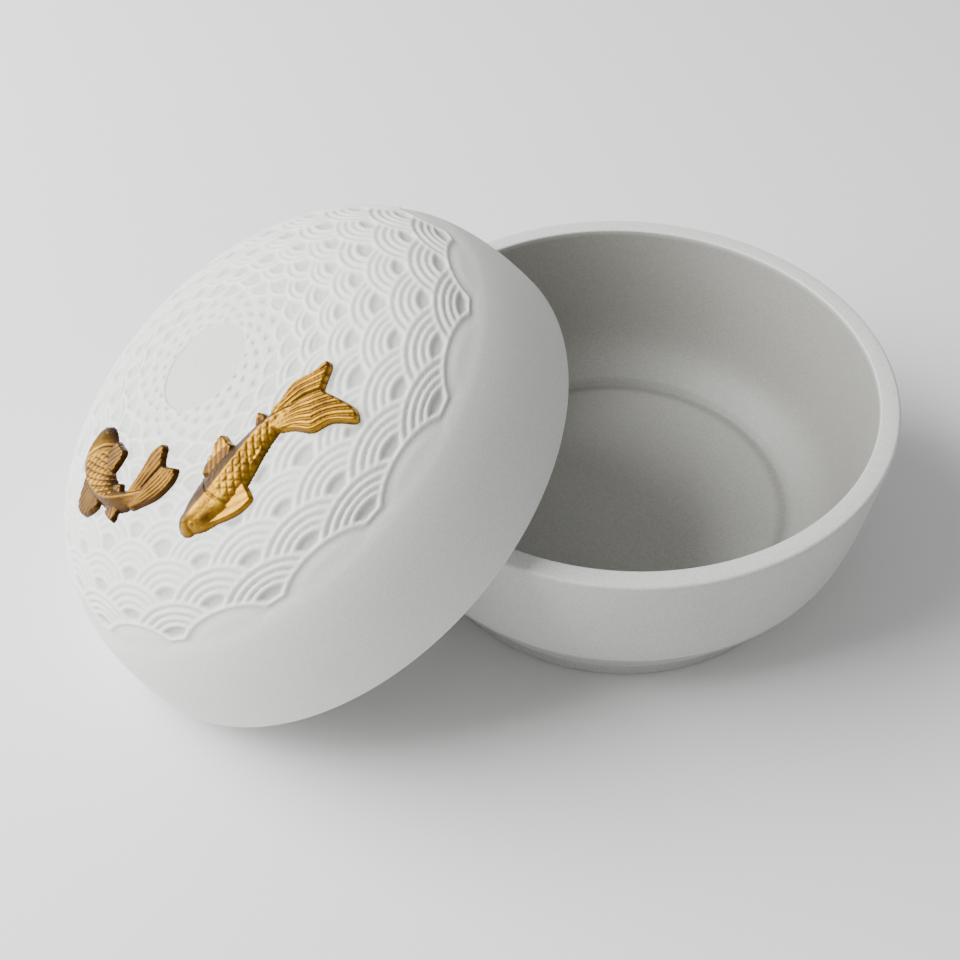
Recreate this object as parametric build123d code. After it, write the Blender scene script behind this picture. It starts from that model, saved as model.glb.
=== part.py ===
from build123d import *
import math
import os

os.makedirs("parts", exist_ok=True)

# Bowl sizes in millimetres, with the origin on its axis at the foot plane
bowl_radius = 46.0
bowl_height = 35.5
rim_width = 3.4
rim_outer_round = 0.6
rim_inner_round = 0.3
wall_taper = 6.6            # degrees off upright under the rim
belly_turn = 61.5           # degrees from level where the wall meets the foot
floor_turn = 34.0           # degrees from level where the inside wall meets the floor
foot_inset = 10.2           # from the rim's outside in to the foot ring's outside
foot_step = 0.9             # how far the belly overhangs the foot ring
foot_width = 4.0
foot_height = 3.65
foot_recess = 2.2           # hollow under the bowl, inside the foot ring
floor_thickness = 3.9
floor_inset = 5.3           # from the foot ring's outside in to the edge of the flat floor
foot_round = 0.5
floor_round = 6.0            # softens the step where the wall meets the floor
wall_handle_share = 0.94    # curve handles, as shares of the bowl's height above the foot
belly_handle_share = 0.425
inner_handle_share = 0.80
floor_handle_share = 0.32

# Lid sizes in millimetres, in its own frame: mouth plane at zero, dome upwards
lid_overhang = 1.0          # how far the lid's edge stands past the bowl's rim
lid_height = 31.6
mouth_draw = 1.38           # how far the side draws in before the dome turns over
mouth_round = 0.8
crown_wall = 4.0
flange_clearance = 0.4
flange_width = 1.5
flange_depth = 1.5
flange_round = 0.4
disc_radius = 8.2           # plain round at the top, a little sunk
disc_sink = 0.3
side_handle_share = 0.788   # of the lid's height
crown_handle_share = 0.731  # of the lid's radius
inner_side_share = 0.80     # of the hollow's height
inner_crown_share = 0.72    # of the hollow's radius

# The lid leans on the bowl, its low edge on the table
lean_angle = 32.0           # degrees
rest_gap = 0.15             # left between the two fired edges where they meet
approach_share = 0.12       # of the lid's radius, the stride with which it is brought up to the bowl
reach_tolerance = 0.02
same_size = 0.01            # two places closer than this are one

# Carp reliefs: size, and place of the snout and heading as seen from above the lid
large_length = 32.0
large_heading = 15.4        # degrees
large_snout_radius = 28.1
large_snout_azimuth = 249.2
small_length = 27.0
small_heading = -68.2
small_snout_radius = 22.6
small_snout_azimuth = 169.8
fin_thickness = 0.7
tail_thickness = 0.95

# Stations down each back: along, across, half width, height, as shares of the carp's length
large_body_shares = [
    (0.003, -0.001, 0.016, 0.009), (0.042, -0.012, 0.062, 0.037),
    (0.125, -0.015, 0.097, 0.056), (0.224, -0.010, 0.122, 0.066),
    (0.325, 0.001, 0.119, 0.069), (0.425, 0.012, 0.106, 0.066),
    (0.527, 0.030, 0.087, 0.056), (0.627, 0.041, 0.072, 0.047),
    (0.708, 0.038, 0.056, 0.040), (0.800, 0.019, 0.037, 0.034),
]
small_body_shares = [
    (0.007, -0.003, 0.015, 0.011), (0.060, -0.020, 0.074, 0.041),
    (0.138, -0.055, 0.115, 0.063), (0.235, -0.110, 0.133, 0.074),
    (0.326, -0.162, 0.119, 0.074), (0.417, -0.195, 0.096, 0.067),
    (0.512, -0.205, 0.085, 0.059), (0.605, -0.194, 0.074, 0.052),
    (0.688, -0.155, 0.067, 0.046), (0.752, -0.094, 0.056, 0.043),
    (0.799, -0.017, 0.041, 0.038),
]

# Outlines of tails and fins, closed smooth curves through shares of the carp's length
large_tail_shares = [
    (0.669, 0.097), (0.747, 0.121), (0.835, 0.149), (0.943, 0.128), (1.018, 0.130),
    (1.017, 0.089), (0.960, 0.036), (0.928, 0.003), (0.946, -0.050), (0.983, -0.148),
    (0.983, -0.197), (0.947, -0.232), (0.863, -0.164), (0.771, -0.142), (0.710, -0.070),
    (0.641, -0.005),
]
large_fin_shares = {
    "dorsal": [
        (0.443, 0.088), (0.439, 0.135), (0.430, 0.206), (0.373, 0.199),
        (0.338, 0.166), (0.279, 0.140), (0.240, 0.093), (0.337, 0.046),
    ],
    "pectoral": [
        (0.389, -0.072), (0.390, -0.124), (0.386, -0.162), (0.367, -0.196),
        (0.272, -0.190), (0.157, -0.137), (0.095, -0.101), (0.148, -0.051), (0.282, -0.036),
    ],
    "second_dorsal": [(0.649, 0.083), (0.649, 0.119), (0.624, 0.158), (0.590, 0.129), (0.556, 0.064)],
    "anal": [(0.570, -0.002), (0.552, -0.045), (0.511, -0.063), (0.453, -0.073), (0.471, -0.010)],
}
small_tail_shares = [
    (0.682, -0.121), (0.673, -0.022), (0.660, 0.063), (0.639, 0.151), (0.660, 0.235),
    (0.711, 0.242), (0.795, 0.173), (0.880, 0.206), (0.916, 0.216), (0.946, 0.180),
    (0.955, 0.124), (0.928, 0.016), (0.849, -0.092), (0.784, -0.154),
]
small_fin_shares = {
    "dorsal": [
        (0.142, -0.184), (0.193, -0.296), (0.254, -0.401), (0.314, -0.433),
        (0.407, -0.418), (0.486, -0.302), (0.359, -0.199),
    ],
    "pectoral": [(0.254, 0.018), (0.333, 0.034), (0.419, 0.020), (0.425, -0.114), (0.312, -0.117)],
    "second_dorsal": [(0.509, -0.144), (0.575, -0.098), (0.621, -0.133), (0.580, -0.184)],
    "anal": [(0.576, -0.294), (0.697, -0.291), (0.686, -0.219), (0.623, -0.217)],
}

# Places that follow from the sizes above
mouth_radius = bowl_radius - rim_width
foot_radius = bowl_radius - foot_inset
belly_radius = foot_radius + foot_step
floor_radius = foot_radius - floor_inset
floor_level = foot_recess + floor_thickness
lid_radius = bowl_radius + lid_overhang
flange_radius = mouth_radius - flange_clearance
hollow_radius = flange_radius - flange_width
hollow_height = lid_height - crown_wall


def toward(start, length, degrees):
    # The point a given length away, at an angle from level, in the section plane
    angle = math.radians(degrees)
    return (start[0] + length * math.cos(angle), start[1] + length * math.sin(angle))


def turned(lines):
    # A section drawn as radius and height, turned about the upright axis
    return revolve(Plane.XZ * make_face(lines), Axis.Z)


def circles_at(solid, level, radius):
    # The circular edges that lie at one level with one radius
    rings = solid.edges().filter_by(GeomType.CIRCLE)
    rings = rings.filter_by(lambda ring: abs(ring.arc_center.Z - level) < same_size)
    return rings.filter_by(lambda ring: abs(ring.radius - radius) < same_size)


def make_bowl():
    wall_height = bowl_height - foot_height
    rim_outside = (bowl_radius, bowl_height)
    belly_foot = (belly_radius, foot_height)
    outside = Bezier(
        rim_outside,
        toward(rim_outside, wall_handle_share * wall_height, -90 - wall_taper),
        toward(belly_foot, belly_handle_share * wall_height, belly_turn),
        belly_foot,
    )
    rim_inside = (mouth_radius, bowl_height)
    floor_edge = (floor_radius, floor_level)
    inner_height = bowl_height - floor_level
    inside = Bezier(
        floor_edge,
        toward(floor_edge, floor_handle_share * inner_height, floor_turn),
        toward(rim_inside, inner_handle_share * inner_height, -90 - wall_taper),
        rim_inside,
    )
    foot = Polyline(
        belly_foot,
        (foot_radius, foot_height),
        (foot_radius, 0),
        (foot_radius - foot_width, 0),
        (foot_radius - foot_width, foot_recess),
        (0, foot_recess),
        (0, floor_level),
        floor_edge,
    )
    solid = turned([outside, foot, inside, Line(rim_inside, rim_outside)])
    solid = fillet(circles_at(solid, bowl_height, bowl_radius), rim_outer_round)
    solid = fillet(circles_at(solid, bowl_height, mouth_radius), rim_inner_round)
    feet = circles_at(solid, 0, foot_radius) + circles_at(solid, 0, foot_radius - foot_width)
    solid = fillet(feet, foot_round)
    return fillet(circles_at(solid, floor_level, floor_radius), floor_round)


def dome(lift):
    # The space under the lid's outer surface, or under one that stands a lift above it
    radius = lid_radius + lift
    height = lid_height + lift
    side = Bezier(
        (radius, 0),
        (radius - mouth_draw, side_handle_share * height),
        (crown_handle_share * radius, height),
        (0, height),
    )
    return turned([side, Polyline((0, height), (0, 0), (radius, 0))])


def make_lid():
    hollow_side = Bezier(
        (hollow_radius, -flange_depth),
        (hollow_radius, inner_side_share * hollow_height),
        (inner_crown_share * hollow_radius, hollow_height),
        (0, hollow_height),
    )
    hollow_axis = Polyline((0, hollow_height), (0, -flange_depth), (hollow_radius, -flange_depth))
    hollow = turned([hollow_side, hollow_axis])
    flange = Location((0, 0, -flange_depth)) * Cylinder(
        flange_radius, flange_depth + mouth_round, align=(Align.CENTER, Align.CENTER, Align.MIN)
    )
    disc = Location((0, 0, lid_height - disc_sink)) * Cylinder(
        disc_radius, crown_wall, align=(Align.CENTER, Align.CENTER, Align.MIN)
    )
    shell = fillet(circles_at(dome(0), 0, lid_radius), mouth_round)
    solid = shell + flange - hollow - disc
    return fillet(circles_at(solid, -flange_depth, flange_radius), flange_round)


def koi(length, heading, snout_radius, snout_azimuth, body_shares, tail_shares, fin_shares):
    # One carp, drawn over the dome in its own along and across directions, then seated on it
    skin = dome(0).faces().sort_by(Axis.Z)[-1]
    azimuth = math.radians(snout_azimuth)
    snout = (snout_radius * math.cos(azimuth), snout_radius * math.sin(azimuth), 0)
    place = Location(snout, (0, 0, heading))
    stations = []
    for along, across, half_width, height in body_shares:
        start = (place * Location((along * length, across * length, 0))).position
        stations.append((skin.find_intersection_points(Axis(start, (0, 0, 1)))[-1], half_width, height))
    sections = []
    for index, ((point, normal), half_width, height) in enumerate(stations):
        before = stations[max(index - 1, 0)][0][0]
        after = stations[min(index + 1, len(stations) - 1)][0][0]
        along = after - before
        plane = Plane(point, x_dir=along.cross(normal), z_dir=along)
        sections.append(plane * Ellipse(half_width * length, height * length))
    body = loft(sections)
    plates = []
    for shares, thickness in [(tail_shares, tail_thickness)] + [
        (shares, fin_thickness) for shares in fin_shares.values()
    ]:
        outline = Spline([(along * length, across * length) for along, across in shares], periodic=True)
        blank = extrude(place * make_face(outline), amount=lid_height + lid_overhang, dir=(0, 0, 1))
        plates.append(blank & dome(thickness))
    return body + plates - dome(0)


def lowest_drop(angle):
    # Height of the mouth plane's centre when the tilted lid's lowest point is on the table
    edge = (lid_radius - mouth_round) * math.sin(angle) + mouth_round * (1 - math.cos(angle))
    flange = flange_radius * math.sin(angle) + flange_depth * math.cos(angle)
    return max(edge, flange)


def leaning(reach):
    # The lid's place, tilted about the table edge and a reach away from the bowl's axis
    return Location((-reach, 0, lowest_drop(math.radians(lean_angle)))) * Rotation(0, -lean_angle, 0)


def resting_reach(bowl, lid):
    # The reach at which the lid is a rest gap away from the bowl's rim, stepped in and then halved
    top = bowl_height - same_size
    rim = Compound(children=[face for face in bowl.faces() if face.bounding_box().max.Z > top])
    step = approach_share * lid_radius
    near = bowl_radius + lid_radius
    while near > step and (leaning(near) * lid).distance_to(rim) > rest_gap:
        near -= step
    far = near + step
    while far - near > reach_tolerance:
        reach = (near + far) / 2
        if (leaning(reach) * lid).distance_to(rim) > rest_gap:
            far = reach
        else:
            near = reach
    return far


bowl = make_bowl()
lid = make_lid()
koi_large = koi(
    large_length,
    large_heading,
    large_snout_radius,
    large_snout_azimuth,
    large_body_shares,
    large_tail_shares,
    large_fin_shares,
)
koi_small = koi(
    small_length,
    small_heading,
    small_snout_radius,
    small_snout_azimuth,
    small_body_shares,
    small_tail_shares,
    small_fin_shares,
)
reach = resting_reach(bowl, lid)
print("lid centre", round(reach, 2), "mm from the bowl's axis and", round(leaning(reach).position.Z, 2), "mm up")

export_step(bowl, "parts/bowl.step")
export_step(leaning(reach) * lid, "parts/lid.step")
export_step(leaning(reach) * koi_large, "parts/koi_large.step")
export_step(leaning(reach) * koi_small, "parts/koi_small.step")
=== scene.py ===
import math

import bmesh
import bpy
import numpy as np
from mathutils import Matrix, Vector


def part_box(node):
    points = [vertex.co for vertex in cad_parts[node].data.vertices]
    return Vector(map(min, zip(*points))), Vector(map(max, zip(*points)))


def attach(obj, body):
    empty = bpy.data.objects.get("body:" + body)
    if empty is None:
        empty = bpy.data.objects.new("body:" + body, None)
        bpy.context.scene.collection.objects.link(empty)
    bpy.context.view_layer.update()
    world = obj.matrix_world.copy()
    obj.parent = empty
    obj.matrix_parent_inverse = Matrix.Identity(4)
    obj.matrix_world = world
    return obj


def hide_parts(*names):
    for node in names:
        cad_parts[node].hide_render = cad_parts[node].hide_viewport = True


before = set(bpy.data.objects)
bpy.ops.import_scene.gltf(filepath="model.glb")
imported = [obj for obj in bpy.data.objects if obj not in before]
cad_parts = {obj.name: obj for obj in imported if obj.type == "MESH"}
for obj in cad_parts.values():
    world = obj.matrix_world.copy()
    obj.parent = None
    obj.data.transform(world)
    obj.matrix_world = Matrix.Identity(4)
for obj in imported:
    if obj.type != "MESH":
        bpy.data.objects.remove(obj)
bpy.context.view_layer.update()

millimetre = 0.001
weldGap = 0.002          # millimetres
tiny = 1e-6


def bezier(corners, count):
    share = np.linspace(0.0, 1.0, count)[:, None]
    a, b, c, d = [np.array(corner, float) for corner in corners]
    rest = 1.0 - share
    return rest**3 * a + 3 * rest**2 * share * b + 3 * rest * share**2 * c + share**3 * d


def toward(start, length, degrees):
    angle = math.radians(degrees)
    return (start[0] + length * math.cos(angle), start[1] + length * math.sin(angle))


def arc(centre, radius, fromDegrees, toDegrees, count=5):
    angles = np.radians(np.linspace(fromDegrees, toDegrees, count))
    return np.stack([centre[0] + radius * np.cos(angles), centre[1] + radius * np.sin(angles)], 1)


def ridge(distance, half):
    # A rounded ridge: one on its crest, nothing past its half width
    roundness = 2.2
    return np.clip(1 - np.abs(distance / half) ** roundness, 0, 1)


def smooth(value):
    value = np.clip(value, 0, 1)
    return value * value * (3 - 2 * value)


def addSpun(mesh, outline, steps, sectors):
    # Turns a chain of radius and height points about the upright axis: one sector, then its copies
    part = bmesh.new()
    verts = [part.verts.new((radius, 0.0, height)) for radius, height in outline]
    edges = [part.edges.new(pair) for pair in zip(verts, verts[1:])]
    turn = 2 * math.pi / sectors
    about = {"cent": (0, 0, 0), "axis": (0, 0, 1)}
    bmesh.ops.spin(part, geom=verts + edges, angle=turn, steps=steps // sectors, **about)
    whole = part.verts[:] + part.edges[:] + part.faces[:]
    bmesh.ops.spin(part, geom=whole, angle=2 * math.pi - turn, steps=sectors - 1, use_duplicate=True, **about)
    bmesh.ops.remove_doubles(part, verts=part.verts, dist=weldGap)
    data = bpy.data.meshes.new("spun")
    part.to_mesh(data)
    part.free()
    mesh.from_mesh(data)
    bpy.data.meshes.remove(data)


def describe(name, mesh):
    triangles = sum(len(face.verts) - 2 for face in mesh.faces)
    openEdges = sum(1 for edge in mesh.edges if len(edge.link_faces) != 2)
    print(f"{name}: {triangles} triangles, {openEdges} open edges")


def finishMesh(mesh, name, place):
    # Sets the place in the mesh itself, shades it smooth and makes the object
    mesh.transform(place)
    data = bpy.data.meshes.new(name)
    mesh.to_mesh(data)
    mesh.free()
    data.polygons.foreach_set("use_smooth", [True] * len(data.polygons))
    piece = bpy.data.objects.new(name, data)
    bpy.context.scene.collection.objects.link(piece)
    return piece


def addMasks(piece, masks):
    # One value for each vertex, read by the materials
    for title, values in masks.items():
        mask = piece.data.attributes.new(title, "FLOAT", "POINT")
        mask.data.foreach_set("value", values)


bowlShape = {
    "radius": 46.0,          # millimetres, as are all lengths of the pieces
    "height": 35.5,
    "rimWidth": 3.4,
    "rimOuterRound": 0.6,
    "rimInnerRound": 0.3,
    "wallTaper": 6.6,        # degrees, as are the next two
    "bellyTurn": 61.5,
    "floorTurn": 34.0,
    "wallShare": 0.94,       # how far the handles of the two wall curves reach, as shares of their height
    "bellyShare": 0.425,
    "innerShare": 0.80,
    "floorShare": 0.32,
    "footRadius": 35.8,
    "footStep": 0.9,
    "footWidth": 4.0,
    "footHeight": 3.65,
    "footRecess": 2.2,
    "footRound": 0.5,
    "recessRing": 15.0,
    "floorLevel": 6.1,
    "floorRadius": 30.5,
    "coveEnds": 1.3,         # the wall's curve stops this far outside the floor's edge
    "floorGroove": [(0.95, 0.12), (0.60, -0.01), (0.25, -0.09), (-0.15, -0.13), (-0.55, -0.12),
                    (-0.95, -0.07), (-1.4, 0.0), (-2.0, 0.03), (-3.0, 0.01)],  # out and up from that edge
    "floorRings": (26.0, 20.0, 12.0, 5.0, 0.0),
    "curvePoints": 60,
    "steps": 256,            # mesh columns, a multiple of the sectors
    "sectors": 16,
    "crispAngle": 40.0,      # degrees; sharper corners aren't shaded smooth
}


def buildBowl():
    s = bowlShape
    wallHeight = s["height"] - s["footHeight"]
    belly = (s["footRadius"] + s["footStep"], s["footHeight"])
    rim = (s["radius"], s["height"])
    outside = bezier([rim, toward(rim, s["wallShare"] * wallHeight, -90 - s["wallTaper"]),
                      toward(belly, s["bellyShare"] * wallHeight, s["bellyTurn"]), belly], s["curvePoints"])
    mouth = (s["radius"] - s["rimWidth"], s["height"])
    level = s["floorLevel"]
    floorEdge = (s["floorRadius"], level)
    innerHeight = s["height"] - level
    inside = bezier([floorEdge, toward(floorEdge, s["floorShare"] * innerHeight, s["floorTurn"]),
                     toward(mouth, s["innerShare"] * innerHeight, -90 - s["wallTaper"]), mouth], s["curvePoints"])
    outerRound, innerRound, footRound = s["rimOuterRound"], s["rimInnerRound"], s["footRound"]
    outside = outside[outside[:, 1] < s["height"] - outerRound]
    inside = inside[(inside[:, 1] < s["height"] - innerRound) & (inside[:, 0] > s["floorRadius"] + s["coveEnds"])]
    innerFoot = s["footRadius"] - s["footWidth"]
    slope = math.tan(math.radians(s["wallTaper"]))
    rimCentre = (s["radius"] - outerRound * (1 + slope), s["height"] - outerRound)
    mouthCentre = (mouth[0] + innerRound * (1 - slope), s["height"] - innerRound)
    outline = np.concatenate([
        [(radius, s["footRecess"]) for radius in (0.0, s["recessRing"], innerFoot)],
        arc((innerFoot + footRound, footRound), footRound, 180, 270),
        arc((s["footRadius"] - footRound, footRound), footRound, -90, 0),
        [(s["footRadius"], s["footHeight"]), belly],
        outside[::-1],
        arc(rimCentre, outerRound, -s["wallTaper"], 90, 6),
        arc(mouthCentre, innerRound, 90, 180),
        inside[::-1],
        [(s["floorRadius"] + across, level + up) for across, up in s["floorGroove"]],
        [(radius, level) for radius in s["floorRings"]],
    ])
    mesh = bmesh.new()
    addSpun(mesh, outline, s["steps"], s["sectors"])
    bmesh.ops.recalc_face_normals(mesh, faces=mesh.faces)
    describe("bowlBody", mesh)
    piece = finishMesh(mesh, "bowlBody", Matrix.Scale(millimetre, 4))
    piece.data.set_sharp_from_angle(angle=math.radians(s["crispAngle"]))
    return piece


bowlMarks = {
    "insideShadeOnFloor": 0.62,   # how far the inside's painted shade reaches on the floor
    "wallFade": 9.0,         # and over what height it grows to full on the wall
    "rimFade": (0.5, 0.4),   # where the rim's painted highlight starts below the top, and how softly
    "rimPast": 0.4,          # how far it runs over the inner edge
    "grooveShadeStrength": 0.6,     # the painted shade in the groove round the floor
    "grooveShadeOut": 0.1,
    "grooveShadeHalf": 1.7,
    "grooveShadeHeight": 0.8,
}


def markBowl(piece):
    # Masks for painted shade on the inside, a painted highlight on the flat rim and painted shade in the groove
    # round the floor
    s, m = bowlShape, bowlMarks
    spots = np.array([v.co[:] for v in piece.data.vertices]) / millimetre
    radius, height = np.hypot(spots[:, 0], spots[:, 1]), spots[:, 2]
    mouth, level = s["radius"] - s["rimWidth"], s["floorLevel"]
    # Painted shade on the inside, fuller on the wall than on the floor
    wall = smooth((height - level) / m["wallFade"])
    inside = (height > level - 0.2) & (radius < mouth + 0.02) & (height < s["height"] - 0.2)
    start, fade = m["rimFade"]
    # A painted highlight on the flat rim
    rim = smooth((height - s["height"] + start) / fade) * (radius > mouth - m["rimPast"])
    # Painted shade in the groove round the floor
    grooveShade = smooth(1 - np.abs(radius - s["floorRadius"] - m["grooveShadeOut"]) / m["grooveShadeHalf"])
    grooveShade = m["grooveShadeStrength"] * grooveShade * (np.abs(height - level) < m["grooveShadeHeight"])
    onFloor = m["insideShadeOnFloor"]
    addMasks(piece, {"inside": inside * (onFloor + (1 - onFloor) * wall), "rim": rim, "grooveShade": grooveShade})


lidShape = {
    "radius": 47.0,
    "height": 31.6,
    "mouthDraw": 1.38,
    "mouthRound": 0.8,
    "mouthInset": 0.02,
    "sideShare": 0.788,      # handles of the dome's curve, as shares of its height and radius
    "crownShare": 0.731,
    "crownWall": 4.0,
    "flangeRadius": 42.2,
    "flangeWidth": 1.5,
    "flangeDepth": 1.5,
    "flangeRound": 0.4,
    "hollowSideShare": 0.80,
    "hollowCrownShare": 0.72,
    "leanAngle": 32.0,       # degrees
    "discRadius": 8.2,
    "discSink": 0.3,
    "discRings": (5.0, 3.0, 1.5, 0.0),
    "bandRings": 12,
    "hollowRings": 24,
    "curvePoints": 6000,
    "crispAngle": 0.7,       # radians; the flange's sharper corners aren't shaded smooth
}

waveScales = {
    "around": 14,            # scales in each ring
    "rings": 17,
    "cuspRadius": 41.9,      # where the outermost ring of scales has its centres
    "centre": (-0.65, 1.21),  # the carving is this far off the lid's axis, as on the real lid
    "borderRadius": 44.8,    # the fine mesh of the carving ends here
    "grooveDepth": 0.55,
    "eyeDepth": 0.68,        # of the hollow in the middle of a scale
    "dotDepth": 0.34,        # of the small hollows near the lid's middle
    "dotFloor": 0.08,
    "dotPlace": 0.45,        # shares of a scale's radius, as are the next six
    "dotRadius": 0.27,
    "dotEdge": 0.13,
    "eyeEdge": 0.07,
    "ridgeHalf": 0.088,
    "borderHalf": 0.07,
    "outline": 0.955,        # where a scale's outline ridge has its crest
    "ridgeRise": 0.94,       # how nearly a ridge comes up to the dome
    "shallower": 0.045,      # each ring is cut this much less deep than the one outside it
    "shallowest": 0.42,
    "wider": 0.05,           # and its ridges are this much wider
    "bandSink": 0.16,        # the plain band dips beside the border ridge
    "moatDepth": 0.16,
    "moatFrom": 0.55,
    "moatWidth": 0.3,
    "bandFade": (0.19, 0.16),  # where the dip ends and how softly
    "discEdge": 0.03,
    "columnsOuter": 44,      # mesh columns per scale, then halved twice toward the middle
    "outerEnds": 28.0,
    "middleEnds": 17.0,
    "ringStep": 0.04484,     # mesh rings, as a share of a scale's radius
    "innerStretch": 1.2,
    "discOverlap": 1.5,
}

# Ridges by ring: up to which ring, their radii as shares of the scale's radius, and the eye's radius
ridgeShares = [
    (3, (0.960, 0.765, 0.575, 0.395), 0.30),
    (6, (0.955, 0.725, 0.500), 0.37),
    (8, (0.950, 0.660), 0.45),
    (10, (0.940,), 0.55),
]


def domeTables():
    # Radius, height and pattern coordinate along the lid's outer surface, from the middle outwards
    s = lidShape
    curve = bezier([(s["radius"], 0.0), (s["radius"] - s["mouthDraw"], s["sideShare"] * s["height"]),
                    (s["crownShare"] * s["radius"], s["height"]), (0.0, s["height"])], s["curvePoints"])[::-1]
    radius, height = curve[:, 0], curve[:, 1]
    dr, dz = np.diff(radius), np.diff(height)
    middle = np.maximum((radius[1:] + radius[:-1]) / 2, 0.05)
    growth = np.concatenate([[0.0], np.cumsum((dr * dr + dz * dz) / np.maximum(dr, 1e-9) / middle)])
    inward = np.interp(waveScales["cuspRadius"], radius, growth) - growth
    return radius, height, inward


domeRadius, domeHeight, domeInward = domeTables()


def inwardAt(radius):
    return float(np.interp(radius, domeRadius, domeInward))


def domeAt(radius):
    # Height and outward normal (radial and upward parts) of the plain dome at a radius
    height = np.interp(radius, domeRadius, domeHeight)
    step = 0.02
    ahead = np.interp(radius + step, domeRadius, domeHeight)
    behind = np.interp(np.maximum(radius - step, 0.0), domeRadius, domeHeight)
    slope = (ahead - behind) / (radius + step - np.maximum(radius - step, 0.0))
    size = np.sqrt(1 + slope * slope)
    return height, -slope / size, 1 / size


def carvedDepth(azimuth, inward):
    # How deep the carving lies under the plain dome, in millimetres, and where its crests are
    w = waveScales
    turn = 2 * math.pi / w["around"]
    scaleRadius, pitch = turn / 2, turn / 4
    depth, crest = np.zeros_like(azimuth), np.zeros_like(azimuth)

    def aside(ring):
        around = azimuth / turn - (0.5 if ring % 2 == 0 else 0.0)
        return (around - np.round(around)) * turn

    def share(ring):
        return np.hypot(aside(ring), inward - ring * pitch) / scaleRadius

    nearest = np.min([share(ring) for ring in (-1, -2, -3, -4)], axis=0)
    done = (nearest <= 1) | (inward < -pitch)  # the plain band outside the border
    start, width = w["bandFade"]
    fade = smooth((inward + start) / width)
    moat = w["bandSink"] + w["moatDepth"] * smooth((nearest - w["moatFrom"]) / w["moatWidth"])
    border = ridge(nearest - w["outline"], w["borderHalf"])
    depth[done] = (moat * (1 - border) * fade)[done]
    crest[done] = (border * fade)[done]
    for ring in range(w["rings"]):
        s = share(ring)
        here = (s <= 1) & ~done
        done |= here
        size = max(w["shallowest"], 1 - w["shallower"] * ring)
        groove = w["grooveDepth"] * size
        half = w["ridgeHalf"] * (1 + w["wider"] * ring)
        ridges, eye = (), 0.0
        for last, radii, eyeRadius in ridgeShares:
            if ring <= last:
                ridges, eye = radii, eyeRadius
                break
        overhead = ridge(nearest - w["outline"], half)
        raised = overhead
        if ridges:
            raised = np.max([ridge(s - r, half) for r in ridges] + [overhead], axis=0)
            local = groove * (0.8 + 0.2 * (1 - s)) * (1 - w["ridgeRise"] * raised)
            eyeHere = smooth((eye - s) / w["eyeEdge"]) * (1 - overhead)
            local = local + (w["eyeDepth"] * size - groove) * eyeHere
        else:
            gap = np.hypot(aside(ring), inward - ring * pitch - w["dotPlace"] * scaleRadius) / scaleRadius
            local = w["dotFloor"] + w["dotDepth"] * smooth((w["dotRadius"] - gap) / w["dotEdge"])
            local = local * (1 - 0.5 * overhead)
        depth[here] = local[here]
        crest[here] = (raised * (0.55 + 0.45 * overhead) + 0.3 * ridge(s - w["outline"], half))[here]
        nearest = np.minimum(nearest, s)
    toDisc = inwardAt(lidShape["discRadius"]) - inward
    outsideDisc = smooth(toDisc / w["discEdge"])
    sunk = depth * outsideDisc + lidShape["discSink"] * (1 - outsideDisc)
    depth = np.where(toDisc < w["discEdge"], sunk, depth)
    return depth, np.clip(crest * outsideDisc, 0, 1)


def lidPlace():
    # The lid's lean: its low edge on the table, its reach read from the CAD lid's own box
    s = lidShape
    lean = math.radians(s["leanAngle"])
    edge = s["radius"] - s["mouthRound"]
    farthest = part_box("lid")[1].x / millimetre
    reach = edge * math.cos(lean) - s["mouthRound"] * math.sin(lean) + s["mouthRound"] - farthest
    drop = edge * math.sin(lean) + s["mouthRound"] * (1 - math.cos(lean))
    place = Matrix.Translation((-reach, 0, drop)) @ Matrix.Rotation(-lean, 4, "Y")
    return Matrix.Scale(millimetre, 4) @ place


def bridgeRings(mesh, pair):
    # Joins the two open rings at the given radius and height pairs
    edges = []
    for edge in mesh.edges:
        if len(edge.link_faces) == 1:
            spot = edge.verts[0].co
            if any(math.hypot(math.hypot(spot.x, spot.y) - r, spot.z - z) < 0.01 for r, z in pair):
                edges.append(edge)
    bmesh.ops.bridge_loops(mesh, edges=edges)


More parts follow.
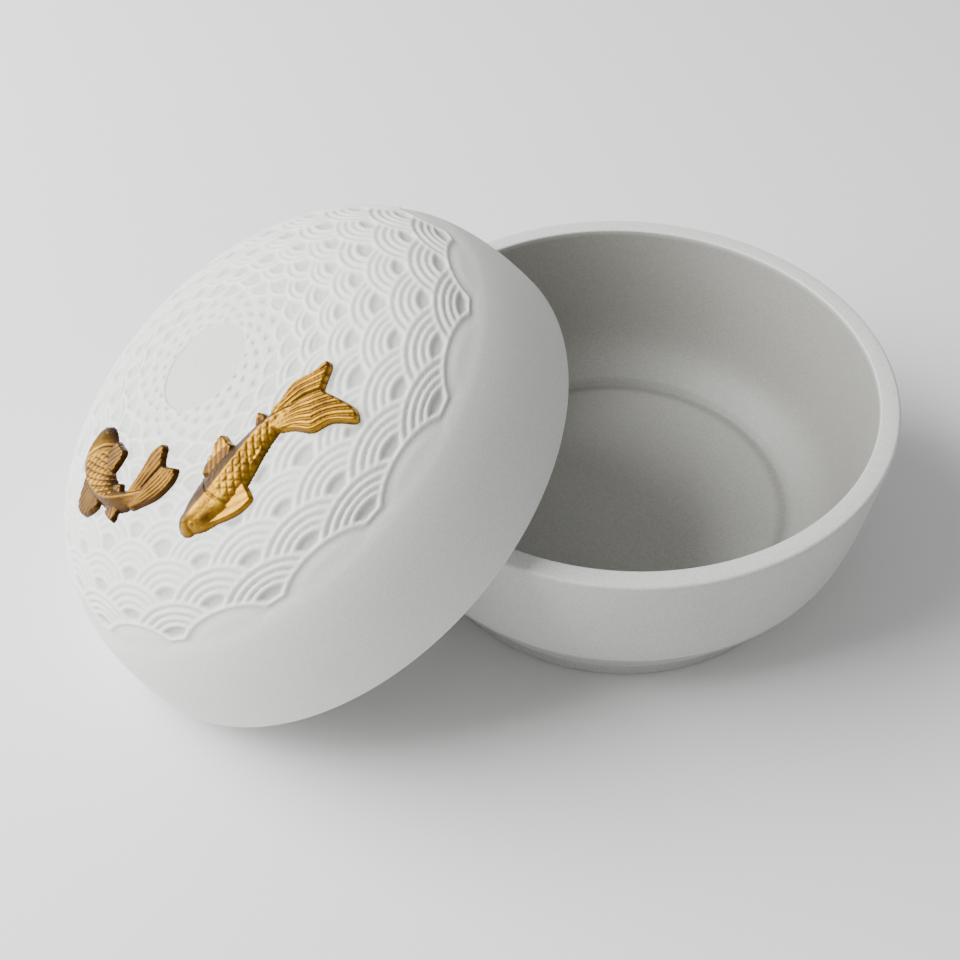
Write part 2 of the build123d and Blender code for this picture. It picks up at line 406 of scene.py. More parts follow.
def buildLid():
    s, w = lidShape, waveScales
    step = math.pi / w["around"] * w["ringStep"]
    outerRange = np.arange(inwardAt(w["borderRadius"]), inwardAt(w["outerEnds"]), step)
    middleRange = np.arange(outerRange[-1] + step, inwardAt(w["middleEnds"]), step)
    innerRange = np.arange(middleRange[-1] + step, inwardAt(s["discRadius"] - w["discOverlap"]),
                           step * w["innerStretch"])

    def carvedChain(values):
        radius = np.interp(values, domeInward[::-1], domeRadius[::-1])
        return np.stack([radius, domeAt(radius)[0]], 1)

    outer, middle, inner = [carvedChain(values) for values in (outerRange, middleRange, innerRange)]
    disc = [(r, float(domeAt(np.array([r]))[0][0])) for r in s["discRings"]]
    bandZ = np.linspace(outer[0][1], s["mouthRound"], s["bandRings"])[1:]
    bandR = np.interp(bandZ, domeHeight[::-1], domeRadius[::-1])
    edgeCentre = (s["radius"] - s["mouthRound"] - s["mouthInset"], s["mouthRound"])
    band = np.concatenate([np.stack([bandR, bandZ], 1), arc(edgeCentre, s["mouthRound"], -15, -90)])
    seat = (s["flangeRadius"], 0.0)
    flangeCentre = (s["flangeRadius"] - s["flangeRound"], s["flangeRound"] - s["flangeDepth"])
    hollowRadius = s["flangeRadius"] - s["flangeWidth"]
    hollowHeight = s["height"] - s["crownWall"]
    underside = np.concatenate([
        [seat],
        arc(flangeCentre, s["flangeRound"], 0, -90),
        bezier([(hollowRadius, -s["flangeDepth"]), (hollowRadius, s["hollowSideShare"] * hollowHeight),
                (s["hollowCrownShare"] * hollowRadius, hollowHeight), (0.0, hollowHeight)], s["hollowRings"]),
    ])
    mesh = bmesh.new()
    columns = w["columnsOuter"] * w["around"]
    for chain, fewer in ((outer, 1), (band, 2), (middle, 2), (np.concatenate([inner, disc]), 4), (underside, 4)):
        addSpun(mesh, chain, columns // fewer, w["around"])
    for pair in ((outer[0], band[0]), (outer[-1], middle[0]), (middle[-1], inner[0]), (band[-1], seat)):
        bridgeRings(mesh, pair)
    bmesh.ops.recalc_face_normals(mesh, faces=mesh.faces)
    describe("lidDome", mesh)
    mesh.verts.ensure_lookup_table()
    place = np.array([v.co[:] for v in mesh.verts])
    radius = np.hypot(place[:, 0], place[:, 1])
    height, out, up = domeAt(radius)
    onDome = (np.abs(place[:, 2] - height) < 0.05) & (radius < w["borderRadius"] + 0.5)
    offCentre = place[onDome, :2] - np.array(w["centre"])
    azimuth = np.arctan2(offCentre[:, 1], offCentre[:, 0])
    inward = np.interp(np.hypot(*offCentre.T), domeRadius, domeInward)
    depth, crest = np.zeros(len(place)), np.zeros(len(place))
    depth[onDome], crest[onDome] = carvedDepth(azimuth, inward)
    depth[onDome] *= besideCarp(place[onDome, :2])
    around = place[:, :2] / np.maximum(radius, tiny)[:, None]
    place[:, :2] -= around * (depth * out)[:, None]
    place[:, 2] -= depth * up
    for vert, spot in zip(mesh.verts, place):
        vert.co = spot
    for edge in mesh.edges:  # the flange keeps crisp corners
        if edge.calc_face_angle(0) > s["crispAngle"] and not any(onDome[v.index] for v in edge.verts):
            edge.smooth = False
    piece = finishMesh(mesh, "lidDome", lidPlace())
    # Masks for painted shade in the carving's grooves and a painted highlight on its crests
    addMasks(piece, {"groove": np.clip(depth / w["eyeDepth"], 0, 1), "crest": crest})
    return piece


# Carp: lengths are shares of the carp's own, along it from the snout and across it.
# Body stations are along, across, half width, height and place of the back ridge.
koiShapes = {
    "koiLarge": {
        "node": "koi_large",
        "length": 32.0,
        "heading": 15.4,         # degrees on the lid
        "snoutRadius": 28.1,
        "snoutAzimuth": 249.2,
        "bodyShares": [
            (0.062, -0.017, 0.070, 0.044, 0.05), (0.125, -0.024, 0.106, 0.056, 0.02),
            (0.224, -0.026, 0.132, 0.061, 0.00),
            (0.325, -0.012, 0.130, 0.060, 0.00), (0.425, 0.004, 0.112, 0.056, 0.05),
            (0.527, 0.026, 0.089, 0.049, 0.12), (0.627, 0.041, 0.072, 0.042, 0.18),
            (0.708, 0.038, 0.056, 0.036, 0.15), (0.800, 0.019, 0.037, 0.028, 0.05),
        ],
        "tailShares": [
            (0.669, 0.097), (0.747, 0.121), (0.835, 0.149), (0.943, 0.128), (1.018, 0.130),
            (1.017, 0.089), (0.960, 0.036), (0.928, 0.003), (0.946, -0.050), (0.983, -0.148),
            (0.983, -0.197), (0.947, -0.232), (0.863, -0.164), (0.771, -0.142), (0.710, -0.070),
            (0.641, -0.005),
        ],
        "tailEdges": [           # upper edge, middle line and lower edge
            [(0.62, 0.10), (0.747, 0.124), (0.835, 0.152), (0.943, 0.134), (1.04, 0.135)],
            [(0.62, 0.040), (0.74, 0.052), (0.84, 0.038), (0.93, 0.003), (1.00, -0.03)],
            [(0.62, -0.01), (0.710, -0.074), (0.771, -0.146), (0.863, -0.168), (0.96, -0.245)],
        ],
        "tailRays": (4, 6),      # above and below the middle line
        "tailHeight": 0.034,
        "fins": [
            {"shares": [(0.443, 0.088), (0.439, 0.135), (0.430, 0.206), (0.373, 0.199),
                        (0.338, 0.166), (0.279, 0.140), (0.240, 0.093), (0.337, 0.046)],
             "rayAngle": 62.0, "height": 0.032},
            {"shares": [(0.389, -0.072), (0.390, -0.124), (0.386, -0.162), (0.367, -0.196),
                        (0.272, -0.190), (0.157, -0.137), (0.095, -0.101), (0.148, -0.051),
                        (0.282, -0.036)],
             "rayAngle": -20.0, "rayPitch": 1.3, "rays": 0.7, "height": 0.021},
            {"shares": [(0.649, 0.083), (0.649, 0.119), (0.624, 0.158), (0.590, 0.129), (0.556, 0.064)],
             "rayAngle": 60.0, "height": 0.026},
            {"shares": [(0.570, -0.002), (0.552, -0.045), (0.511, -0.063), (0.453, -0.073),
                        (0.471, -0.010)],
             "rayAngle": -50.0, "height": 0.026},
        ],
        "net": (0.20, 0.72),     # the scales run from here to here
        "gill": 0.175,
        "eye": (0.075, -0.055),
        "shadedFlank": 1.0,         # which flank gets painted shade
        "patina": 0.0,           # how brown the whole carp is, save where it is worn
    },
    "koiSmall": {
        "node": "koi_small",
        "length": 27.0,
        "heading": -68.2,
        "snoutRadius": 22.6,
        "snoutAzimuth": 169.8,
        "bodyShares": [
            (0.007, -0.003, 0.015, 0.012, 0.0), (0.060, -0.020, 0.074, 0.041, -0.3),
            (0.138, -0.055, 0.115, 0.063, -0.6), (0.235, -0.110, 0.133, 0.072, -0.75),
            (0.326, -0.162, 0.119, 0.072, -0.68), (0.417, -0.195, 0.096, 0.066, -0.55),
            (0.512, -0.205, 0.085, 0.058, -0.30), (0.605, -0.194, 0.074, 0.052, 0.1),
            (0.688, -0.155, 0.067, 0.046, 0.4), (0.752, -0.094, 0.056, 0.040, 0.4),
            (0.799, -0.017, 0.041, 0.032, 0.0),
        ],
        "tailShares": [
            (0.682, -0.121), (0.673, -0.022), (0.660, 0.063), (0.639, 0.151), (0.660, 0.235),
            (0.711, 0.242), (0.795, 0.173), (0.880, 0.206), (0.916, 0.216), (0.946, 0.180),
            (0.955, 0.124), (0.928, 0.016), (0.849, -0.092), (0.784, -0.154),
        ],
        "tailEdges": [
            [(0.70, -0.16), (0.673, -0.022), (0.656, 0.063), (0.633, 0.151), (0.650, 0.26)],
            [(0.74, -0.15), (0.765, -0.05), (0.78, 0.06), (0.795, 0.175), (0.80, 0.26)],
            [(0.76, -0.18), (0.853, -0.095), (0.932, 0.016), (0.959, 0.124), (0.94, 0.23)],
        ],
        "tailRays": (4, 6),
        "tailHeight": 0.036,
        "fins": [
            {"shares": [(0.142, -0.184), (0.193, -0.296), (0.254, -0.401), (0.314, -0.433),
                        (0.407, -0.418), (0.486, -0.302), (0.359, -0.199)],
             "rayAngle": -98.0, "height": 0.034},
            {"shares": [(0.254, 0.018), (0.333, 0.034), (0.419, 0.020), (0.425, -0.114), (0.312, -0.117)],
             "rayAngle": 60.0, "height": 0.034},
            {"shares": [(0.509, -0.144), (0.575, -0.098), (0.621, -0.133), (0.580, -0.184)],
             "rayAngle": 60.0, "height": 0.03},
            {"shares": [(0.576, -0.294), (0.697, -0.291), (0.686, -0.219), (0.623, -0.217)],
             "rayAngle": -60.0, "height": 0.03},
        ],
        "net": (0.22, 0.66),
        "gill": 0.19,
        "eye": (0.10, 0.01),
        "shadedFlank": -1.0,
        "patina": 0.80,
    },
}

koiRelief = {
    "cell": 0.15,            # mesh cell, millimetres
    "sheet": ((-0.04, -0.48), (1.06, 0.28)),  # corners of the sheet it is raised from, as shares of its length
    "curveSteps": 8,         # between two points of an outline
    "finRound": 0.5,         # width of a fin's rounded edge
    "skirt": 0.2,            # how far past the outline the relief dips into the lid
    "sunk": 1.3,             # depth of the hidden underside
    "bodyRound": 2.1,        # power of the body's cross section
    "backRise": 0.14,        # the back ridge, as shares of the body's height and half width
    "backHalf": 0.3,
    "backDrop": 0.08,
    "scalePitch": 1.45,
    "scaleSlant": 1.05,
    "scaleEdge": 0.55,
    "scaleDepth": 0.09,
    "netFade": (0.03, 0.05),
    "gillHalf": 0.28,
    "gillDepth": 0.11,
    "eyeHalf": 0.4,
    "eyeRise": 0.06,
    "socketRadius": 0.55,
    "socketHalf": 0.2,
    "socketDepth": 0.05,
    "rayDepth": 0.38,        # in the tail
    "raySharpness": 0.6,
    "tailCup": 0.30,         # how much lower the tail is on its middle line
    "finRayDepth": 0.14,
    "finRayPitch": 0.9,
    "rayFade": 0.3,          # rays run out toward a fin's edge
    "creaseShade": 0.6,      # painted shade in the body's creases, then in the fins' rays, and over all creases together
    "finRayShade": 0.8,
    "creaseShadeAll": 0.9,
    "flankAndFootShade": 0.8,        # painted shade on the turned flank and round the foot of the relief
    "footFade": 0.4,
    "wornHeight": 0.065,     # share of the length above which the gold is worn bright
    "bedding": 0.5,          # width of the plain edge left in the carving round each carp
}


def cubicRun(a, b, c, d):
    # A smooth run of points from b toward c, bent by the points before and after
    count = koiRelief["curveSteps"]
    t = np.arange(count)[:, None] / count
    return 0.5 * ((2 * b) + (c - a) * t + (2 * a - 5 * b + 4 * c - d) * t**2 + (3 * b - a - 3 * c + d) * t**3)


def closedCurve(shares, length):
    points = np.array(shares, float) * length
    shifted = [np.roll(points, shift, 0) for shift in (1, 0, -1, -2)]
    return np.concatenate([cubicRun(*corners) for corners in zip(*shifted)])


def openCurve(shares):
    points = np.array(shares, float)
    padded = np.concatenate([[2 * points[0] - points[1]], points, [2 * points[-1] - points[-2]]])
    runs = [cubicRun(*corners) for corners in zip(padded, padded[1:], padded[2:], padded[3:])]
    return np.concatenate(runs + [points[-1:]])


def lineDistance(points, line, closed=False):
    # Distance from each point to a line of short stretches
    ends = np.roll(line, -1, 0) if closed else line[1:]
    starts = line if closed else line[:-1]
    best = np.full(len(points), np.inf)
    for start, end in zip(starts, ends):
        along = end - start
        share = np.clip(((points - start) @ along) / max(along @ along, 1e-12), 0, 1)
        best = np.minimum(best, np.hypot(*(points - start - share[:, None] * along).T))
    return best


def insideBy(points, line):
    # Distance inside a closed line, negative outside it
    x, y = points[:, 0], points[:, 1]
    inside = np.zeros(len(points), bool)
    for (x0, y0), (x1, y1) in zip(line, np.roll(line, -1, 0)):
        crosses = (y0 > y) != (y1 > y)
        rise = y1 - y0 if abs(y1 - y0) > 1e-12 else 1e-12
        inside ^= crosses & (x < x0 + (y - y0) * (x1 - x0) / rise)
    return np.where(inside, 1, -1) * lineDistance(points, line, closed=True)


def sideOf(points, line):
    # Which side of an open line each point lies on
    starts, ends = line[:-1], line[1:]
    middles = (starts + ends) / 2
    gaps = np.hypot(points[:, 0, None] - middles[None, :, 0], points[:, 1, None] - middles[None, :, 1])
    near = np.argmin(gaps, axis=1)
    along = (ends - starts)[near]
    away = points - middles[near]
    return np.sign(along[:, 0] * away[:, 1] - along[:, 1] * away[:, 0])


def plateHeight(inside, height):
    # A plate with a rounded edge that dips under the lid's surface outside its outline
    k = koiRelief
    edge = np.clip(inside / k["finRound"], 0, 1)
    raised = height * np.sin(edge * np.pi / 2)
    return np.where(inside > 0, raised, inside * k["sunk"] / k["skirt"])


def bodyRelief(points, shape):
    # Height, distance inside the outline, creases and the flank that gets painted shade
    k, length = koiRelief, shape["length"]
    body = openCurve(shape["bodyShares"]) * np.array([length, length, length, length, 1.0])
    spine = body[:, :2]
    runs = np.concatenate([[0.0], np.cumsum(np.hypot(*np.diff(spine, axis=0).T))])
    gaps = np.hypot(points[:, 0, None] - spine[None, :, 0], points[:, 1, None] - spine[None, :, 1])
    near = np.argmin(gaps - 0.6 * body[None, :, 2], axis=1)
    heading = np.gradient(spine, axis=0)
    heading /= np.hypot(*heading.T)[:, None]
    away = points - spine[near]
    forward = np.einsum("ij,ij->i", away, heading[near])
    side = away[:, 1] * heading[near, 0] - away[:, 0] * heading[near, 1]
    run = runs[near] + forward
    wide, tall, crest = [np.interp(run, runs, body[:, column]) for column in (2, 3, 4)]
    off = side / wide  # one at the near outline, minus one at the far one
    over = np.maximum(np.maximum(-run, run - runs[-1]), 0) / np.maximum(wide, 0.3)
    off = np.sign(off + 1e-9) * np.hypot(off, over)
    fall = np.abs(np.where(off > crest, (off - crest) / (1 - crest), (crest - off) / (1 + crest)))
    height = tall * (1 - fall ** k["bodyRound"]) * (fall < 1)
    height = height + k["backRise"] * tall * np.clip(1 - fall / k["backHalf"], 0, 1) - k["backDrop"] * tall
    outline = (1 - np.abs(off)) * wide
    height = np.where(np.abs(off) < 1, height, outline * k["sunk"] / k["skirt"])

    # Diamond net of scales on both flanks
    netFrom, netTo = shape["net"]
    rise, fade = k["netFade"]
    net = smooth((run / length - netFrom) / rise) * smooth((netTo - run / length) / fade)
    turned = shape["shadedFlank"] * (off - crest)
    net = net * smooth((0.93 - np.abs(off)) / 0.12) * np.where(turned > 0, 0.4, 1.0)
    lines = []
    for slant in (1.0, -1.0):
        phase = (run + slant * side * k["scaleSlant"]) / k["scalePitch"]
        lines.append(np.abs(phase - np.round(phase)) * 2)
    pillow = smooth(np.minimum(*lines) / k["scaleEdge"])
    onRidge = smooth((0.07 - np.abs(off - crest)) / 0.05)
    between = net * (1 - onRidge) * (1 - pillow)
    height = height - k["scaleDepth"] * between

    # Gill cover and eye
    gill = np.abs(run - shape["gill"] * length - 1.44 * off**2)
    cut = ridge(gill, k["gillHalf"]) * (np.abs(off) < 0.92)
    height = height - k["gillDepth"] * cut
    eyeGap = np.hypot(*(points - np.array(shape["eye"]) * length).T)
    height = height + k["eyeRise"] * ridge(eyeGap, k["eyeHalf"])
    height = height - k["socketDepth"] * ridge(eyeGap - k["socketRadius"], k["socketHalf"])

    # The turned flank gets painted shade
    flank = smooth(turned / 0.2) * (np.abs(off) < 1.1)
    # The third value is painted shade in the scale net and the gill cut
    return height, outline, k["creaseShade"] * np.maximum(between, cut), flank


def tailRelief(points, shape):
    # Height, distance inside the outline and rays that run between the edges and the middle line
    k, length = koiRelief, shape["length"]
    inside = insideBy(points, closedCurve(shape["tailShares"], length))
    upperEdge, middleLine, lowerEdge = [openCurve(edge) * length for edge in shape["tailEdges"]]
    upper, middle, lower = [lineDistance(points, line) for line in (upperEdge, middleLine, lowerEdge)]
    upperSide = sideOf(upperEdge[len(upperEdge) // 2][None], middleLine)[0]
    onUpper = sideOf(points, middleLine) * upperSide > 0
    share = np.where(onUpper, upper / (upper + middle + tiny), lower / (lower + middle + tiny))
    rays = np.where(onUpper, *shape["tailRays"])
    crease = 1 - np.abs(np.sin(np.pi * share * rays)) ** k["raySharpness"]
    cup = 1 - k["tailCup"] * np.exp(-((middle / 0.5) ** 2))
    height = plateHeight(inside, shape["tailHeight"] * length)
    cut = k["rayDepth"] * crease * smooth(inside / k["rayFade"])
    # The ray creases also carry painted shade
    return np.where(inside > 0, height * cup - cut, height), inside, crease


def finRelief(points, fin, length):
    # Height, distance inside the outline and fine parallel rays
    k = koiRelief
    inside = insideBy(points, closedCurve(fin["shares"], length))
    angle = math.radians(fin["rayAngle"])
    across = -points[:, 0] * math.sin(angle) + points[:, 1] * math.cos(angle)
    ray = across / fin.get("rayPitch", k["finRayPitch"])
    groove = smooth((0.5 - np.abs(ray - np.round(ray)) * 2) / 0.5) * fin.get("rays", 1.0)
    height = plateHeight(inside, fin["height"] * length)
    cut = k["finRayDepth"] * groove * smooth(inside / k["rayFade"])
    # The rays' grooves also carry painted shade
    return np.where(inside > 0, height - cut, height), inside, k["finRayShade"] * groove


def koiSurface(points, shape):
    # Height over the dome, a dark mask of painted shade, a crease mask of painted shade and the distance inside
    # the whole outline
    k = koiRelief
    height, outline, creases, flank = bodyRelief(points, shape)
    tailHeight, tailIn, tailRays = tailRelief(points, shape)
    onTail = tailHeight > height
    parts = [(tailHeight, tailIn, tailRays)]
    parts += [finRelief(points, fin, shape["length"]) for fin in shape["fins"]]
    for partHeight, partIn, partRays in parts:
        creases = np.where(partHeight > height, partRays, creases)
        height = np.maximum(height, partHeight)
        outline = np.maximum(outline, partIn)
    # Painted shade round the foot of the relief and on the turned flank, save on the tail
    foot = smooth((k["footFade"] - height) / k["footFade"])
    dark = k["flankAndFootShade"] * np.maximum(flank * ~onTail, foot)
    return height, dark, np.clip(creases, 0, 1), outline


def koiAxes(shape):
    # The snout's place on the lid, and the directions along and across the carp
    heading, azimuth = math.radians(shape["heading"]), math.radians(shape["snoutAzimuth"])
    along = np.array([math.cos(heading), math.sin(heading)])
    across = np.array([-along[1], along[0]])
    snout = shape["snoutRadius"] * np.array([math.cos(azimuth), math.sin(azimuth)])
    return snout, along, across


def besideCarp(spots):
    # One away from both carp, nothing on them and in a narrow plain edge round them
    clear = np.ones(len(spots))
    for shape in koiShapes.values():
        snout, along, across = koiAxes(shape)
        flat = np.stack([(spots - snout) @ along, (spots - snout) @ across], 1)
        length = shape["length"]
        around = np.all((flat > [-3, -0.5 * length]) & (flat < [1.1 * length] * 2), axis=1)
        outline = koiSurface(flat[around], shape)[3]
        clear[around] = np.minimum(clear[around], smooth((-outline - 0.1) / koiRelief["bedding"]))
    return clear


def snapToOutline(flat, shape):
    # Moves the sheet's points beside the carp's outline onto it, along the steepest way
    outline = koiSurface(flat, shape)[3]
    close = np.nonzero(np.abs(outline) < 0.55 * koiRelief["cell"])[0]
    nudge = 0.02
    slope = np.stack([
        (koiSurface(flat[close] + shift, shape)[3] - koiSurface(flat[close] - shift, shape)[3]) / (2 * nudge)
        for shift in np.array([(nudge, 0), (0, nudge)])
    ], 1)
    steep = np.maximum((slope**2).sum(1), 0.3)
    flat[close] -= slope * (outline[close] / steep)[:, None]
    return flat, outline


def buildKoi(name, shape):
    k, length = koiRelief, shape["length"]
    low, high = [np.array(corner) * length for corner in k["sheet"]]
    size = high - low
    cells = [int(round(v / k["cell"])) for v in size]
    mesh = bmesh.new()
    bmesh.ops.create_grid(mesh, x_segments=cells[0], y_segments=cells[1], size=0.5)
    bmesh.ops.scale(mesh, vec=(size[0], size[1], 1), verts=mesh.verts)
    bmesh.ops.translate(mesh, vec=(*((low + high) / 2), 0), verts=mesh.verts)
    flat, outline = snapToOutline(np.array([v.co[:2] for v in mesh.verts]), shape)
    for v, spot in zip(mesh.verts, flat):
        v.co = (*spot, 0)
    outside = [v for v, inside in zip(mesh.verts, outline) if inside < -k["skirt"]]
    bmesh.ops.delete(mesh, geom=outside, context="VERTS")
    strays = [v for v in mesh.verts if not v.link_faces]
    bmesh.ops.delete(mesh, geom=strays, context="VERTS")
    raised = bmesh.ops.extrude_face_region(mesh, geom=list(mesh.faces))
    top = {g for g in raised["geom"] if isinstance(g, bmesh.types.BMVert)}
    mesh.verts.index_update()
    flat = np.array([v.co[:2] for v in mesh.verts])
    onTop = np.array([v in top for v in mesh.verts])
    height, dark, creases, outline = koiSurface(flat, shape)
    height = np.where(onTop, np.maximum(height, -k["sunk"]), -k["sunk"] - 0.1)
    snout, along, across = koiAxes(shape)
    x, y = (snout + flat[:, :1] * along + flat[:, 1:] * across).T
    radius = np.hypot(x, y)
    ground, out, up = domeAt(radius)
    for v, vx, vy, vr, g, o, u, h in zip(mesh.verts, x, y, radius, ground, out, up, height):
        v.co = (vx + h * o * vx / vr, vy + h * o * vy / vr, g + h * u)
    bmesh.ops.recalc_face_normals(mesh, faces=mesh.faces)
    describe(name, mesh)
    piece = finishMesh(mesh, name, lidPlace())
    worn = smooth(height / (k["wornHeight"] * length))
    # The patina darkens the low parts on top of the painted shade
    dark = np.maximum(dark, shape["patina"] * (1.3 - worn))
    # The crease mask is painted shade in the creases and rays
    addMasks(piece, {"dark": dark, "crease": creases * k["creaseShadeAll"]})
    return piece


def newMaterial(name):
    material = bpy.data.materials.new(name)
    material.use_nodes = True
    tree = material.node_tree
    return material, tree, tree.nodes["Principled BSDF"]


def link(tree, source, target):
    tree.links.new(source, target)


def feed(tree, value, target):
    # Links a node's output, or sets a plain number or colour
    if isinstance(value, bpy.types.NodeSocket):
        link(tree, value, target)
    else:
        target.default_value = (*value, 1.0) if isinstance(value, tuple) else value


def noise(tree, scale, detail, roughness=0.5):
    node = tree.nodes.new("ShaderNodeTexNoise")
    feed(tree, scale, node.inputs["Scale"])
    node.inputs["Detail"].default_value = detail
    node.inputs["Roughness"].default_value = roughness
    where = tree.nodes.new("ShaderNodeTexCoord")
    link(tree, where.outputs["Object"], node.inputs["Vector"])
    return node.outputs["Fac"]


def ramp(tree, source, stops):
    node = tree.nodes.new("ShaderNodeValToRGB")
    for element, (place, colour) in zip(node.color_ramp.elements, stops):
        element.position = place
        element.color = (*colour, 1.0)
    link(tree, source, node.inputs["Fac"])
    return node.outputs["Color"]


def mixColour(tree, factor, first, second, blend="MIX"):
    node = tree.nodes.new("ShaderNodeMix")
    node.data_type = "RGBA"
    node.blend_type = blend
    for value, index in ((factor, 0), (first, 6), (second, 7)):  # the node's colour sockets
        feed(tree, value, node.inputs[index])
    return node.outputs[2]


def bump(tree, height, distance, strength):
    node = tree.nodes.new("ShaderNodeBump")
    feed(tree, distance, node.inputs["Distance"])
    node.inputs["Strength"].default_value = strength
    link(tree, height, node.inputs["Height"])
    return node.outputs["Normal"]


def attribute(tree, name):
    node = tree.nodes.new("ShaderNodeAttribute")
    node.attribute_name = name
    return node.outputs["Fac"]


def buildFiredGrain():
    # The soft mottle, fine speckle, uneven gloss and grain of a fired surface, shared by all three finishes
    group = bpy.data.node_groups.new("firedGrain", "ShaderNodeTree")
    for title in ("Mottle Scale", "Grain Scale", "Grain Depth", "Roughness Low", "Roughness Spread"):
        group.interface.new_socket(name=title, in_out="INPUT", socket_type="NodeSocketFloat")
    for title, kind in (("Mottle", "Float"), ("Speckle", "Float"), ("Roughness", "Float"), ("Normal", "Vector")):
        group.interface.new_socket(name=title, in_out="OUTPUT", socket_type="NodeSocket" + kind)
    given = group.nodes.new("NodeGroupInput").outputs
    result = group.nodes.new("NodeGroupOutput").inputs
    mottle = noise(group, given["Mottle Scale"], 4.0, 0.55)
    grain = noise(group, given["Grain Scale"], 2.0)
    uneven = group.nodes.new("ShaderNodeMath")
    uneven.operation = "MULTIPLY_ADD"
    for value, socket in zip((mottle, given["Roughness Spread"], given["Roughness Low"]), uneven.inputs):
        link(group, value, socket)
    specks = group.nodes.new("ShaderNodeMapRange")
    for title, value in (("From Min", 0.36), ("From Max", 0.64)):  # stretches the noise to full contrast
        specks.inputs[title].default_value = value
    link(group, grain, specks.inputs["Value"])
    link(group, specks.outputs["Result"], result["Speckle"])
    link(group, mottle, result["Mottle"])
    link(group, uneven.outputs[0], result["Roughness"])
    link(group, bump(group, grain, given["Grain Depth"], 0.55), result["Normal"])
    return group


firedGrain = buildFiredGrain()


def addFiredGrain(tree, shader, finish):
    # Places the shared group, feeds the shader's roughness and normal, and gives back its two masks
    node = tree.nodes.new("ShaderNodeGroup")
    node.node_tree = firedGrain
    for title, value in zip(("Mottle Scale", "Grain Scale", "Grain Depth"), finish["grain"]):
        node.inputs[title].default_value = value
    low, high = finish["roughness"]
    node.inputs["Roughness Low"].default_value = low
    node.inputs["Roughness Spread"].default_value = high - low
    link(tree, node.outputs["Roughness"], shader.inputs["Roughness"])
    link(tree, node.outputs["Normal"], shader.inputs["Normal"])
    return node.outputs["Mottle"], node.outputs["Speckle"]


bisqueFinish = {
    "colour": (0.749, 0.751, 0.729),
    "mottle": (0.709, 0.709, 0.684),
    # a painted highlight on the carving's crests
    "crest": (0.872, 0.877, 0.852),
    # painted shade in the carving's grooves
    "groove": (0.537, 0.537, 0.512),
    "speck": (0.915, 0.915, 0.915),     # darkens the rest
    "roughness": (0.54, 0.70),          # lowest and highest
    "grain": (90.0, 2800.0, 0.00005),   # mottle scale, grain scale and grain depth in metres
}


def bisqueMaterial():
    f = bisqueFinish
    material, tree, shader = newMaterial("matteBisque")
    mottle, speckle = addFiredGrain(tree, shader, f)
    mottled = mixColour(tree, mottle, f["colour"], f["mottle"])
    # A painted highlight on the carving's crests
    litCrests = mixColour(tree, attribute(tree, "crest"), mottled, f["crest"])
    # Painted shade in the carving's grooves
    shadedGrooves = mixColour(tree, attribute(tree, "groove"), litCrests, f["groove"])
    coloured = mixColour(tree, speckle, shadedGrooves, f["speck"], "MULTIPLY")
    link(tree, coloured, shader.inputs["Base Color"])
    return material


glazeFinish = {
    "outside": (0.566, 0.566, 0.550),
    "mottle": (0.516, 0.521, 0.50),
    # Painted shade on the inside and in the groove round the floor, and a painted highlight on the rim
    "inside": (0.366, 0.363, 0.330),
    "grooveShade": (0.227, 0.225, 0.206),
    "rim": (0.722, 0.727, 0.706),
    "speck": (0.87, 0.87, 0.87),
    "roughness": (0.42, 0.58),
    "grain": (120.0, 2400.0, 0.00004),
}


def glazeMaterial():
    f = glazeFinish
    material, tree, shader = newMaterial("satinGlaze")
    mottle, speckle = addFiredGrain(tree, shader, f)
    mottled = mixColour(tree, mottle, f["outside"], f["mottle"])
    # Painted shade on the inside and in the groove round the floor, then a painted highlight on the rim
    shadedInside = mixColour(tree, attribute(tree, "inside"), mottled, f["inside"])
    shadedFloorGroove = mixColour(tree, attribute(tree, "grooveShade"), shadedInside, f["grooveShade"])
    litRim = mixColour(tree, attribute(tree, "rim"), shadedFloorGroove, f["rim"])
    coloured = mixColour(tree, speckle, litRim, f["speck"], "MULTIPLY")
    link(tree, coloured, shader.inputs["Base Color"])
    return material


gildFinish = {
    "gold": (0.27, 0.120, 0.004),
    "bright": (0.50, 0.265, 0.016),
    # brown is the colour of the patina and the worn patches, and also of the painted shade
    "brown": (0.035, 0.011, 0.001),
    "roughness": (0.22, 0.42),
    "grain": (420.0, 2200.0, 0.00008),
    "metallic": 0.85,
    "patches": 0.75,         # how brown the worn patches are
    "patchScale": 300.0,
    "patchEdges": (0.42, 0.72),
}


def gildMaterial():
    f = gildFinish
    material, tree, shader = newMaterial("oldGilding")
    worn = mixColour(tree, addFiredGrain(tree, shader, f)[0], f["gold"], f["bright"])
    clean, full = f["patchEdges"]
    stops = [(clean, (0, 0, 0)), (full, (f["patches"],) * 3)]
    aged = mixColour(tree, ramp(tree, noise(tree, f["patchScale"], 5.0, 0.6), stops), worn, f["brown"])
    # The dark mask: painted shade on the turned flank and round the foot, with the patina
    dark = mixColour(tree, attribute(tree, "dark"), aged, f["brown"])
    # Painted shade in the creases and rays
    creased = mixColour(tree, attribute(tree, "crease"), dark, f["brown"])
    link(tree, creased, shader.inputs["Base Color"])
    shader.inputs["Metallic"].default_value = f["metallic"]
    return material


studioLight = {
    "skyColour": (1.0, 1.0, 1.0),
    "skyStrength": 0.45,
    "floorColour": (0.86, 0.86, 0.86),
    "floorRoughness": 0.9,
    "floorSize": 1600.0,     # millimetres
    "floorDrop": 0.02,
    "keyPlace": (-560.0, 120.0, 420.0),
    "keySize": 650.0,
    "keyPower": 15.5,        # watts
}


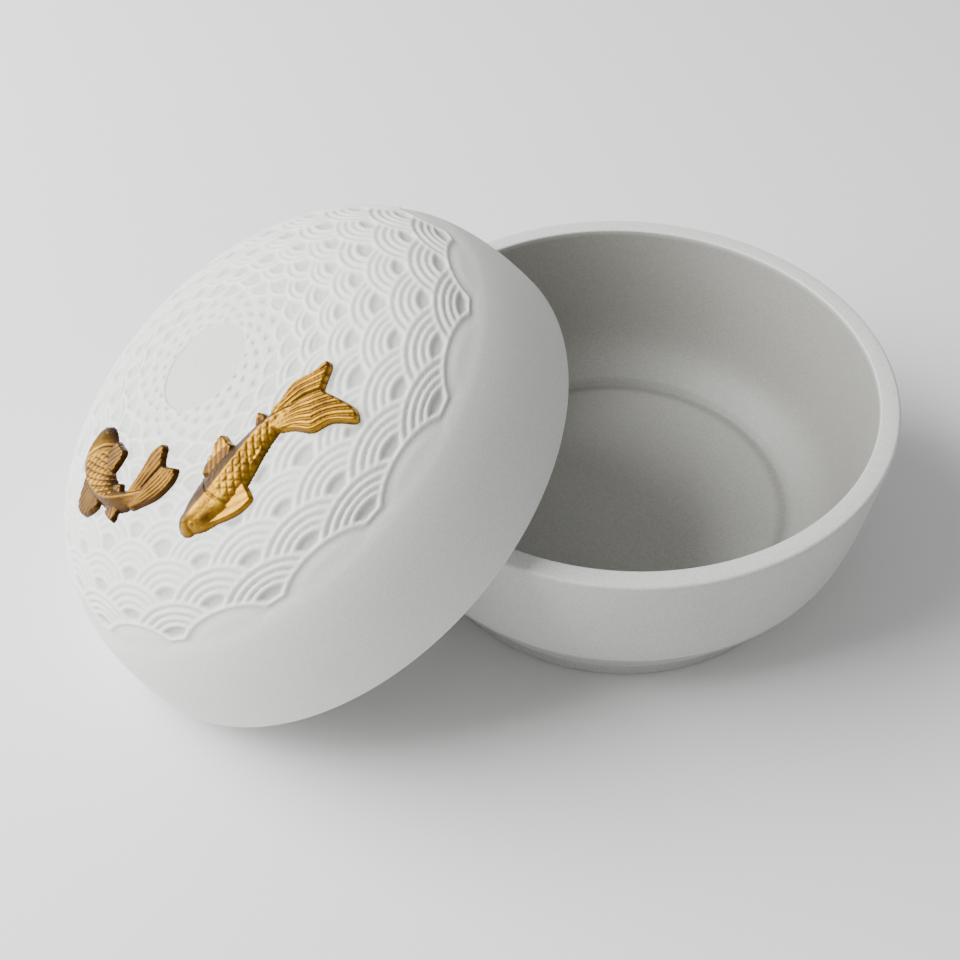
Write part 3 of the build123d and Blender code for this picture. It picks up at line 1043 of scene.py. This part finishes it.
def addStage():
    s = studioLight
    mesh = bmesh.new()
    bmesh.ops.create_grid(mesh, x_segments=1, y_segments=1, size=s["floorSize"] * millimetre / 2)
    floor = finishMesh(mesh, "floor", Matrix.Translation((0, 0, -s["floorDrop"] * millimetre)))
    material, tree, shader = newMaterial("paleFloor")
    shader.inputs["Base Color"].default_value = (*s["floorColour"], 1.0)
    shader.inputs["Roughness"].default_value = s["floorRoughness"]
    floor.data.materials.append(material)
    world = bpy.data.worlds.new("studio")
    world.use_nodes = True
    background = world.node_tree.nodes["Background"]
    background.inputs["Color"].default_value = (*s["skyColour"], 1.0)
    background.inputs["Strength"].default_value = s["skyStrength"]
    bpy.context.scene.world = world
    lamp = bpy.data.lights.new("keyLight", "AREA")
    lamp.size = s["keySize"] * millimetre
    lamp.energy = s["keyPower"]
    place = Vector(s["keyPlace"]) * millimetre
    turn = (-place).to_track_quat("-Z", "Y").to_matrix().to_4x4()  # faces the object
    holder = bpy.data.objects.new("keyLight", lamp)
    holder.matrix_world = Matrix.Translation(place) @ turn
    bpy.context.scene.collection.objects.link(holder)


cameraSetup = {
    "place": (-56.83, -169.56, 195.17),  # millimetres from the bowl's foot centre
    "yaw": -10.48,                       # degrees, turned to the right of +Y
    "pitch": 46.01,                      # degrees below level
    "roll": -1.42,
    "lens": 52.46,
    "sensorWidth": 36.0,
    "nearest": 10.0,                     # nothing closer than this is drawn
}


def addCamera():
    s = cameraSetup
    data = bpy.data.cameras.new("photoCamera")
    data.lens = s["lens"]
    data.sensor_width = s["sensorWidth"]
    data.sensor_fit = "HORIZONTAL"
    data.clip_start = s["nearest"] * millimetre
    camera = bpy.data.objects.new("photoCamera", data)
    turn = (Matrix.Rotation(math.radians(s["yaw"]), 4, "Z")
            @ Matrix.Rotation(math.radians(90 - s["pitch"]), 4, "X")
            @ Matrix.Rotation(math.radians(s["roll"]), 4, "Z"))
    camera.matrix_world = Matrix.Translation(Vector(s["place"]) * millimetre) @ turn
    bpy.context.scene.collection.objects.link(camera)
    bpy.context.scene.camera = camera


print("camera and studio")
addCamera()
addStage()

print("bowl")
bowlBody = buildBowl()
markBowl(bowlBody)
bowlBody.data.materials.append(glazeMaterial())
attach(bowlBody, "bowl")
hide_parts("bowl")

print("lid")
lidDome = buildLid()
lidDome.data.materials.append(bisqueMaterial())
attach(lidDome, "lid")
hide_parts("lid")

print("carp")
gilding = gildMaterial()
for koiName, koiShape in koiShapes.items():
    relief = buildKoi(koiName, koiShape)
    relief.data.materials.append(gilding)
    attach(relief, "lid")
    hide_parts(koiShape["node"])
